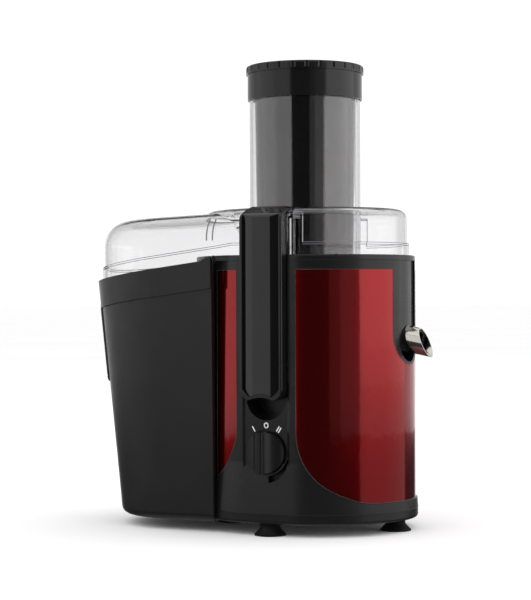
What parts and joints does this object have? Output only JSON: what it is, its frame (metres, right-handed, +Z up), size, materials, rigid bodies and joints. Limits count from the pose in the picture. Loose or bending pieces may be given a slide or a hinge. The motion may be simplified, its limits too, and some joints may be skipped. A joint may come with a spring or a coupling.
{
  "type": "centrifugal juicer",
  "caption": "Free-standing centrifugal juicer with a wide feed tube, locking clamps, a speed knob, a spout and a wrap-around pulp container.",
  "frame": {"origin": "middle of the whole machine's footprint, on the table", "axes": "+Z up along the motor axis, +X towards the spout, -X towards the pulp container, -Y towards the control strip with the knob"},
  "size_m": [0.3054, 0.1808, 0.392],
  "materials": {
    "housing_black": "satin black moulded plastic",
    "collector_black": "satin black moulded plastic",
    "panel_red": "deep red metallic lacquer, glossy",
    "foot_rubber": "black rubber",
    "clear_plastic": "clear moulded plastic",
    "pusher_smoke": "smoky dark grey glossy plastic",
    "cap_black": "satin black moulded plastic",
    "clamp_black": "black moulded plastic",
    "clamp_gloss": "piano black plastic",
    "pin_steel": "plain steel",
    "knob_black": "satin black plastic",
    "container_black": "fine-textured dark grey plastic",
    "spout_steel": "polished stainless steel",
    "mesh_steel": "perforated stainless steel",
    "basket_plastic": "dark grey plastic",
    "seal_rubber": "black rubber",
    "motor_iron": "laminated steel",
    "motor_copper": "enamelled copper",
    "bracket_alloy": "die-cast alloy",
    "bearing_steel": "ground steel",
    "fan_plastic": "glass-filled plastic",
    "carbon": "pressed carbon",
    "capacitor_case": "grey plastic case"
  },
  "bodies": {
    "root": {"base_housing": "housing_black", "base_screws": "pin_steel", "base_tray": "housing_black", "brush_holders": "fan_plastic", "carbon_brushes": "carbon", "clamp_front_pin": "pin_steel", "clamp_rear_pin": "pin_steel", "cord_grommet": "seal_rubber", "feed_tube": "clear_plastic", "field_windings": "motor_copper", "front_left_panel": "panel_red", "interlock_switches": "fan_plastic", "juice_collector": "collector_black", "lid_cover": "clear_plastic", "lower_bearing": "bearing_steel", "lower_bracket": "bracket_alloy", "motor_bolts": "pin_steel", "motor_dampers": "seal_rubber", "rear_left_panel": "panel_red", "shaft_seal": "seal_rubber", "spout_side_panel": "panel_red", "spout_sleeve": "spout_steel", "stator_core": "motor_iron", "suction_foot_container_end": "foot_rubber", "suction_foot_front": "foot_rubber", "suction_foot_rear": "foot_rubber", "suction_foot_spout_end": "foot_rubber", "suppression_capacitor": "capacitor_case", "switch_body": "fan_plastic", "terminal_block": "fan_plastic", "upper_bearing": "bearing_steel", "upper_bracket": "bracket_alloy", "upper_frame": "housing_black"},
    "clamp_front": {"clamp_front_lever": "clamp_black", "clamp_front_cover": "clamp_gloss"},
    "clamp_rear": {"clamp_rear_lever": "clamp_black", "clamp_rear_cover": "clamp_gloss"},
    "knob": {"speed_knob": "knob_black", "switch_shaft": "fan_plastic"},
    "rotor": {"motor_shaft": "pin_steel", "armature_core": "motor_iron", "armature_windings": "motor_copper", "commutator": "motor_copper", "cooling_fan": "fan_plastic", "drive_coupling": "basket_plastic", "coupling_nut": "pin_steel", "basket_base": "basket_plastic", "filter_mesh": "mesh_steel", "basket_rim": "basket_plastic", "grater_disc": "mesh_steel"},
    "pusher": {"pusher_body": "pusher_smoke", "pusher_cap": "cap_black"},
    "container": {"pulp_container": "container_black"}
  },
  "joints": [
    {"name": "clamp_front_open", "type": "hinge", "parent": "root", "child": "clamp_front", "pos_m": [0.03738, -0.0726, 0.14], "axis": [1, 0, 0], "range_deg": [0, 32]},
    {"name": "clamp_rear_open", "type": "hinge", "parent": "root", "child": "clamp_rear", "pos_m": [0.03738, 0.0774, 0.14], "axis": [-1, 0, 0], "range_deg": [0, 32]},
    {"name": "knob_turn", "type": "hinge", "parent": "root", "child": "knob", "pos_m": [0.03738, -0.0776, 0.0685], "axis": [0, -1, 0], "range_deg": [-35, 35]},
    {"name": "rotor_spin", "type": "hinge", "parent": "root", "child": "rotor", "pos_m": [0.03908, 0.0024, 0.15], "axis": [0, 0, 1], "continuous": true},
    {"name": "pusher_lift", "type": "slide", "parent": "root", "child": "pusher", "axis": [0, 0, 1], "range_m": [0, 0.15]},
    {"name": "container_draw", "type": "slide", "parent": "root", "child": "container", "axis": [-0.9919, 0, -0.1271], "range_m": [0, 0.05]}
  ]
}
